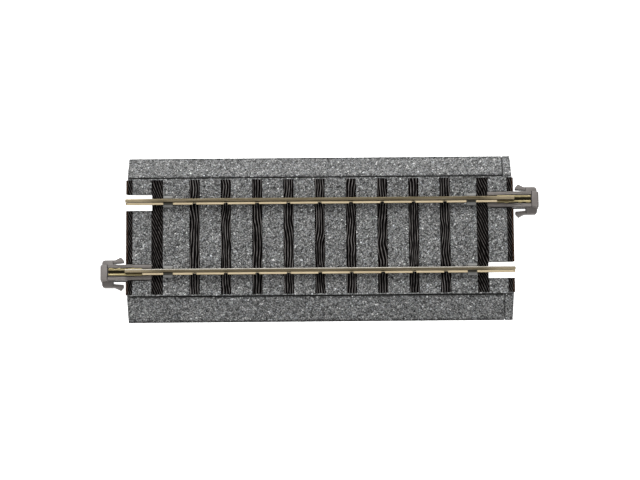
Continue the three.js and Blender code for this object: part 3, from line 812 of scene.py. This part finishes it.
class Nodes:
    """A new material's node tree, with short calls to add and link nodes."""

    def __init__(self, name):
        self.material = bpy.data.materials.new(name)
        self.material.use_nodes = True
        self.tree = self.material.node_tree
        self.shader = self.tree.nodes["Principled BSDF"]
        coordinate = self.add("TexCoord")
        self.millimetres = self.mapping(coordinate.outputs["Object"], (1 / MM,) * 3)

    def link(self, output, node, socket):
        self.tree.links.new(output, node.inputs[socket])

    def finish(self, roughness, specular=0.5, metallic=0.0):
        """Values that are the same all over the surface."""
        self.shader.inputs["Roughness"].default_value = roughness
        self.shader.inputs["Specular IOR Level"].default_value = specular
        self.shader.inputs["Metallic"].default_value = metallic

    def add(self, kind):
        """A new shader node, such as kind "Math"."""
        return self.tree.nodes.new("ShaderNode" + kind)

    def mapping(self, source, scale):
        node = self.add("Mapping")
        node.inputs["Scale"].default_value = scale
        self.link(source, node, "Vector")
        return node.outputs["Vector"]

    def noise(self, vector, scale, detail=3.0, roughness=0.55):
        node = self.add("TexNoise")
        node.inputs["Scale"].default_value = scale
        node.inputs["Detail"].default_value = detail
        node.inputs["Roughness"].default_value = roughness
        self.link(vector, node, "Vector")
        return node.outputs["Fac"]

    def voronoi(self, vector, scale, feature="F1"):
        node = self.add("TexVoronoi")
        node.feature = feature
        node.inputs["Scale"].default_value = scale
        self.link(vector, node, "Vector")
        return node

    def ramp(self, factor, stops):
        """stops: (position, colour), where a colour is a grey level or red, green, blue."""
        node = self.add("ValToRGB")
        elements = node.color_ramp.elements
        while len(elements) < len(stops):
            elements.new(0.5)
        for element, (position, colour) in zip(elements, stops):
            element.position = position
            rgb = colour if isinstance(colour, tuple) else (colour,) * 3
            element.color = (*rgb, 1)
        self.link(factor, node, "Fac")
        return node.outputs["Color"]

    def mix(self, kind, factor, a, b):
        """Two colours put together. The factor and each colour is a value or another node's output."""
        node = self.add("Mix")
        node.data_type = "RGBA"
        node.blend_type = kind
        # A colour mix has its factor at input 0 and its colours at inputs 6 and 7.
        for value, index in ((factor, 0), (a, 6), (b, 7)):
            if isinstance(value, bpy.types.NodeSocket):
                self.tree.links.new(value, node.inputs[index])
            elif index == 0:
                node.inputs[index].default_value = value
            else:
                node.inputs[index].default_value = (*value, 1)
        return node.outputs[2]

    def multiply(self, a, b, factor=1.0):
        return self.mix("MULTIPLY", factor, a, b)

    def bump(self, height, strength, distance, normal=None):
        """A shading normal from a height. distance is in millimetres."""
        node = self.add("Bump")
        node.inputs["Strength"].default_value = strength
        node.inputs["Distance"].default_value = distance * MM
        self.link(height, node, "Height")
        if normal is not None:
            self.link(normal, node, "Normal")
        return node.outputs["Normal"]

    def axis(self, name):
        """X, Y or Z of the place on the object, in millimetres."""
        node = self.add("SeparateXYZ")
        self.link(self.millimetres, node, "Vector")
        return node.outputs[name]

    def math(self, operation, a, b=0.0):
        """A sum, comparison or the like. Each term is a number or another node's output."""
        node = self.add("Math")
        node.operation = operation
        for k, term in enumerate((a, b)):
            if isinstance(term, bpy.types.NodeSocket):
                self.tree.links.new(term, node.inputs[k])
            else:
                node.inputs[k].default_value = term
        return node.outputs[0]


CHIP_SCALE = 3.0  # patches of one colour to a millimetre
SPECK_SCALE = 4.5
CREVICE_SHADE_SCALE = 1.9  # cells of the painted crevice shade to a millimetre


def height_in_ballast(nodes, inner):
    """How high the surface stands above the deck or slope under its grains."""
    slope = (SHOULDER_TOP - SHOULDER_LIP) / (BASE_HALF_WIDTH - inner)
    across = nodes.math("ABSOLUTE", nodes.axis("Y"))
    fall = nodes.math("MULTIPLY", nodes.math("SUBTRACT", across, inner), -slope)
    plane = nodes.math("MINIMUM", nodes.math("ADD", fall, SHOULDER_TOP), DECK_TOP)
    return nodes.math("SUBTRACT", nodes.axis("Z"), plane)


def ballast_material(name, inner):
    """Moulded stone chips: mid grey with some white or tinted chips, painted shade between the grains
    and painted light on their tops.

    inner: how far from the middle line the slope under the grains starts."""
    nodes = Nodes(name)
    chips = nodes.voronoi(nodes.millimetres, CHIP_SCALE)
    chance = nodes.add("SeparateColor")
    nodes.link(chips.outputs["Color"], chance, "Color")
    greys = [(0, 0.063), (0.3, 0.15), (0.6, 0.193), (0.9, 0.256), (0.97, 0.38), (1, 0.62)]
    grey = nodes.ramp(chance.outputs["Red"], greys)
    tints = [
        (0, (0.95, 0.99, 1.04)),
        (0.4, (1, 1, 0.99)),
        (0.7, (1.02, 1.0, 0.99)),
        (1, (0.96, 1.02, 0.98)),
    ]
    coloured = nodes.multiply(grey, nodes.ramp(chance.outputs["Green"], tints))
    specks = nodes.noise(nodes.millimetres, SPECK_SCALE, 2.0, 0.7)
    speck_shades = nodes.ramp(specks, [(0.32, 0.35), (0.45, 0.9), (0.6, 1.15), (0.72, 1.5)])
    speckled = nodes.multiply(coloured, speck_shades, 0.85)
    # Painted shade: the edges of these cells are darkened as shade in the crevices between chips.
    crevice_cells = nodes.voronoi(nodes.millimetres, CREVICE_SHADE_SCALE, "DISTANCE_TO_EDGE")
    painted_crevice_shade = nodes.ramp(crevice_cells.outputs["Distance"], [(0.0, 0.3), (0.07, 0.65), (0.15, 1.08)])
    # Painted shade and light: the low places between the grains are darker, and the grain tops are
    # lighter.
    raised = height_in_ballast(nodes, inner)
    painted_grain_shade = nodes.ramp(raised, [(0.0, 0.05), (0.05, 0.2), (0.11, 0.95), (0.3, 1.35)])
    shaded = nodes.multiply(nodes.multiply(speckled, painted_crevice_shade), painted_grain_shade)
    nodes.link(shaded, nodes.shader, "Base Color")
    nodes.finish(roughness=0.85, specular=0.3)
    relief = nodes.bump(chips.outputs["Distance"], 0.5, 0.12)
    fine = nodes.noise(nodes.millimetres, 9.0, 3.0)
    nodes.link(nodes.bump(fine, 0.35, 0.05, relief), nodes.shader, "Normal")
    return nodes.material


def roadbed_material():
    """The plain moulded sides and underside of the roadbed and shoulders."""
    nodes = Nodes("roadbed_plastic")
    grey = nodes.ramp(nodes.noise(nodes.millimetres, 0.7, 4.0), [(0.3, 0.09), (0.7, 0.12)])
    nodes.link(grey, nodes.shader, "Base Color")
    nodes.finish(roughness=0.62)
    fine = nodes.noise(nodes.millimetres, 6.0, 3.0)
    nodes.link(nodes.bump(fine, 0.25, 0.03), nodes.shader, "Normal")
    return nodes.material


GRAIN_LINE_SCALE = 0.5  # makes a ridge about every 0.6 mm
GRAIN_WANDER = 28.0
WIDE_GRAIN_CLOSER = 0.1
WIDE_GRAIN_SLANT = 0.45  # across the tie for each millimetre along it
BROWN_STRIP = 0.45  # width of the browned strip at the section's ends
TIE_BLACK = (0.0012, 0.001, 0.001)
RIDGE_GREY = (0.16, 0.15, 0.145)
WIDE_RIDGE_GREY = (0.085, 0.078, 0.074)


def grain_rings(nodes, wide):
    """Lines that wander along each tie. Those of the wide ties are closer and run aslant."""
    closer = nodes.math("ADD", nodes.math("MULTIPLY", wide, WIDE_GRAIN_CLOSER), 1.0)
    slant = nodes.math("MULTIPLY", wide, WIDE_GRAIN_SLANT)
    straight = nodes.math("MULTIPLY", nodes.axis("X"), closer)
    aslant = nodes.math("MULTIPLY", slant, nodes.axis("Y"))
    drawn = nodes.add("CombineXYZ")
    nodes.link(nodes.math("ADD", straight, aslant), drawn, "X")
    nodes.link(nodes.math("MULTIPLY", nodes.axis("Y"), 0.16), drawn, "Y")
    wander = nodes.noise(nodes.mapping(nodes.millimetres, (0.11, 0.09, 0.0)), 1.0, 2.0, 0.5)
    rings = nodes.add("TexWave")
    rings.bands_direction = "X"
    rings.inputs["Scale"].default_value = GRAIN_LINE_SCALE
    rings.inputs["Distortion"].default_value = 1.7
    rings.inputs["Detail"].default_value = 1.5
    rings.inputs["Detail Scale"].default_value = 0.22
    nodes.link(drawn.outputs["Vector"], rings, "Vector")
    nodes.link(nodes.math("MULTIPLY", wander, GRAIN_WANDER), rings, "Phase Offset")
    return rings.outputs["Fac"]


def tie_material():
    """Near-black plastic with thin grey-brown lines of wood grain, browned at the very ends."""
    nodes = Nodes("tie_grain")
    along = nodes.math("ABSOLUTE", nodes.axis("X"))
    wide = nodes.math("GREATER_THAN", along, WIDE_TIE_INNER - FIT_GAP)
    rings = grain_rings(nodes, wide)
    fibres = nodes.noise(nodes.mapping(nodes.millimetres, (3.0, 0.3, 1.0)), 1.0, 3.0, 0.6)
    ridge = nodes.ramp(rings, [(0.58, 0.0), (0.82, 0.25), (0.97, 1.0)])
    broken = nodes.ramp(fibres, [(0.36, 0.12), (0.52, 0.6), (0.66, 1.0)])
    ridge_colour = nodes.mix("MIX", wide, RIDGE_GREY, WIDE_RIDGE_GREY)
    grained = nodes.mix("MIX", nodes.multiply(ridge, broken), TIE_BLACK, ridge_colour)
    at_end = nodes.math("GREATER_THAN", along, TIE_END - BROWN_STRIP)
    browned = nodes.mix("ADD", at_end, grained, (0.02, 0.009, 0.004))
    nodes.link(browned, nodes.shader, "Base Color")
    nodes.finish(roughness=0.75, specular=0.0)
    relief = nodes.bump(rings, 0.6, 0.08)
    nodes.link(nodes.bump(fibres, 0.4, 0.05, relief), nodes.shader, "Normal")
    return nodes.material


def clouded_plastic(nodes, colour, roughness):
    """Smooth plastic's finish. Gives its slightly clouded colour, still to be linked."""
    darker = tuple(0.9 * c for c in colour)
    lighter = tuple(1.1 * c for c in colour)
    nodes.finish(roughness)
    fine = nodes.noise(nodes.millimetres, 7.0, 3.0)
    nodes.link(nodes.bump(fine, 0.15, 0.03), nodes.shader, "Normal")
    return nodes.ramp(nodes.noise(nodes.millimetres, 0.9, 4.0), [(0.3, darker), (0.7, lighter)])


def smooth_plastic(name, colour, roughness):
    nodes = Nodes(name)
    nodes.link(clouded_plastic(nodes, colour, roughness), nodes.shader, "Base Color")
    return nodes.material


def clip_material():
    """Grey plastic, painted dark as shade where it grips the rail foot."""
    nodes = Nodes("clip_plastic")
    grey = clouded_plastic(nodes, (0.19, 0.19, 0.185), 0.6)
    across = nodes.math("SUBTRACT", nodes.math("ABSOLUTE", nodes.axis("Y")), RAIL_Y)
    # Painted shade: the clip is near-black next to the rail foot, where the rail's shadow falls.
    painted_rail_shade = nodes.math("LESS_THAN", nodes.math("ABSOLUTE", across), FOOT_HALF + 0.08)
    both = nodes.mix("MIX", painted_rail_shade, grey, (0.035, 0.032, 0.022))
    nodes.link(both, nodes.shader, "Base Color")
    return nodes.material


def rail_material():
    """Drawn brass with lines along it: the foot painted light as a highlight, the head painted dark as
    shade.

    The head is rubbed near the section's ends, and a painted highlight runs along the near rail's
    inner edge."""
    nodes = Nodes("drawn_metal")
    lines = nodes.noise(nodes.mapping(nodes.millimetres, (0.12, 7.0, 7.0)), 1.0, 4.0, 0.6)
    # Painted highlight: the foot is coloured light, as it catches the lamps.
    painted_foot_highlight = nodes.ramp(lines, [(0.3, (0.25, 0.2, 0.125)), (0.7, (0.38, 0.32, 0.22))])
    # Painted shade: the head is coloured dark brown, as its top reflects little light.
    painted_head_shades = [(0.3, (0.05, 0.04, 0.022)), (0.52, (0.1, 0.082, 0.052)), (0.75, (0.19, 0.165, 0.12))]
    browned = nodes.ramp(lines, painted_head_shades)
    # Painted highlight: a light strip along the near rail's inner edge.
    painted_edge_highlight = nodes.ramp(lines, [(0.3, (0.2, 0.185, 0.16)), (0.7, (0.34, 0.32, 0.28))])
    along = nodes.math("DIVIDE", nodes.math("ABSOLUTE", nodes.axis("X")), RAIL_END)
    rubbed = nodes.ramp(along, [(0.82, 0.0), (0.93, 0.6)])
    cleaned = nodes.mix("MIX", rubbed, browned, (0.3, 0.25, 0.165))
    inner_edge = nodes.math("GREATER_THAN", nodes.axis("Y"), HEAD_HALF - EDGE_HIGHLIGHT_WIDTH - RAIL_Y)
    near_rail = nodes.math("LESS_THAN", nodes.axis("Y"), 0.0)
    head = nodes.mix("MIX", nodes.multiply(inner_edge, near_rail), cleaned, painted_edge_highlight)
    on_head = nodes.math("GREATER_THAN", nodes.axis("Z"), RAIL_TOP - HEAD_HEIGHT)
    nodes.link(nodes.mix("MIX", on_head, painted_foot_highlight, head), nodes.shader, "Base Color")
    nodes.finish(roughness=0.4, metallic=1.0)
    nodes.link(nodes.bump(lines, 0.2, 0.03), nodes.shader, "Normal")
    return nodes.material


def fishplate_material():
    """Golden sheet metal, painted near-black below the folded lips as shade."""
    nodes = Nodes("folded_sheet")
    cloud = nodes.noise(nodes.mapping(nodes.millimetres, (0.6, 3.0, 3.0)), 1.0, 4.0, 0.6)
    gold = nodes.ramp(cloud, [(0.3, (0.16, 0.13, 0.065)), (0.7, (0.29, 0.25, 0.145))])
    # Painted shade: below the lips the sheet is near-black, as the inside of the fold gets little
    # light.
    lip = nodes.math("GREATER_THAN", nodes.axis("Z"), FISHPLATE_HIGH.z - 0.25)
    nodes.link(nodes.mix("MIX", lip, (0.03, 0.025, 0.015), gold), nodes.shader, "Base Color")
    nodes.finish(roughness=0.48, metallic=1.0)
    nodes.link(nodes.bump(cloud, 0.2, 0.03), nodes.shader, "Normal")
    return nodes.material


# ---- Solids that stay ----


WELD_DISTANCE = 0.00001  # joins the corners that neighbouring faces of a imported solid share


def dress_node(name, material, edge=0):
    """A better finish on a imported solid, and eased edges if edge, in millimetres, isn't 0."""
    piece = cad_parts[name]
    piece.data.materials.clear()
    piece.data.materials.append(material)
    weld = piece.modifiers.new("weld", "WELD")
    weld.merge_threshold = WELD_DISTANCE * MM
    flatten = piece.modifiers.new("flatten", "DECIMATE")
    flatten.decimate_type = "DISSOLVE"
    flatten.angle_limit = math.radians(1)
    if edge:
        ease = piece.modifiers.new("ease", "BEVEL")
        ease.width = edge * MM
        ease.segments = 3
        ease.limit_method = "ANGLE"
        ease.angle_limit = math.radians(35)


# ---- Stage ----

CAMERA_DISTANCE = 750.0
CAMERA_ELEVATION = 78.4  # degrees
CAMERA_ROLL = 0.48  # degrees
CAMERA_LENS = 174.0
AIM = Vector((0, -0.76, 3.0))


def add_camera():
    """A long lens that looks down on the section from the near side."""
    data = bpy.data.cameras.new("camera")
    data.lens = CAMERA_LENS
    data.sensor_width = 36
    data.clip_start = 0.01
    camera = bpy.data.objects.new("camera", data)
    bpy.context.scene.collection.objects.link(camera)
    up = math.radians(CAMERA_ELEVATION)
    towards = Vector((0, -math.cos(up), math.sin(up)))
    place = Matrix.Translation((AIM + towards * CAMERA_DISTANCE) * MM)
    turn = (-towards).to_track_quat("-Z", "Y").to_matrix().to_4x4()
    roll = Matrix.Rotation(math.radians(-CAMERA_ROLL), 4, "Z")
    camera.matrix_world = place @ turn @ roll
    bpy.context.scene.camera = camera


def add_area(name, location, size, power):
    """A round soft light, in metres and watts, turned towards the section."""
    data = bpy.data.lights.new(name, "AREA")
    data.shape = "DISK"
    data.size = size
    data.energy = power
    light = bpy.data.objects.new(name, data)
    light.location = location
    light.rotation_euler = (-Vector(location)).to_track_quat("-Z", "Y").to_euler()
    bpy.context.scene.collection.objects.link(light)


WHITE = (1, 1, 1, 1)
FLOOR_SIZE = 3  # metres, to each side
FLOOR_DROP = 0.0001  # metres, so that the floor isn't in the same plane as the underside


def add_stage():
    """A white floor, a white surround and two soft lights."""
    nodes = Nodes("white_floor")
    nodes.shader.inputs["Base Color"].default_value = (0.92, 0.92, 0.92, 1)
    nodes.finish(roughness=0.9)
    nodes.shader.inputs["Emission Color"].default_value = WHITE
    nodes.shader.inputs["Emission Strength"].default_value = 1.0
    bm = bmesh.new()
    bmesh.ops.create_grid(bm, x_segments=2, y_segments=2, size=FLOOR_SIZE)
    mesh = bpy.data.meshes.new("floor")
    bm.to_mesh(mesh)
    bm.free()
    mesh.materials.append(nodes.material)
    floor = bpy.data.objects.new("floor", mesh)
    floor.location = (0, 0, -FLOOR_DROP)
    bpy.context.scene.collection.objects.link(floor)

    world = bpy.data.worlds.new("studio")
    world.use_nodes = True
    background = world.node_tree.nodes["Background"]
    background.inputs["Color"].default_value = WHITE
    background.inputs["Strength"].default_value = 0.52
    bpy.context.scene.world = world
    add_area("key", location=(-0.15, 0.8, 0.8), size=0.7, power=15)
    add_area("front", location=(0.0, -0.45, 0.95), size=0.8, power=4.5)
    bpy.context.scene.view_settings.view_transform = "Standard"


# ---- The section ----

add_camera()
add_stage()

grains = ballast_material("ballast_grains", SHOULDER_INNER)
flange_grains = ballast_material("flange_grains", DECK_SIDE)
plain = roadbed_material()
tie_plastic = tie_material()
clip_plastic = clip_material()
joiner_plastic = smooth_plastic("joiner_plastic", (0.115, 0.102, 0.095), 0.5)
# Near-black plastic as painted shadow in the deep seams behind the shoulders.
seam_painted_shadow = smooth_plastic("seam_painted_shadow", (0.02, 0.02, 0.02), 0.8)

for node_name in ("roadbed", "shoulder_far", "shoulder_near"):
    dress_node(node_name, plain)
for _, end_name in ENDS:
    for _, side_name in SIDES:
        dress_node("rail_clip_" + end_name + "_" + side_name, clip_plastic, 0.12)

add_ballast(grains, flange_grains)
add_seam_backing(seam_painted_shadow)
add_ties(tie_plastic)
add_end_ties(tie_plastic)
add_rails(rail_material())
add_housings(joiner_plastic)
add_fishplates(fishplate_material())
add_arms(joiner_plastic)
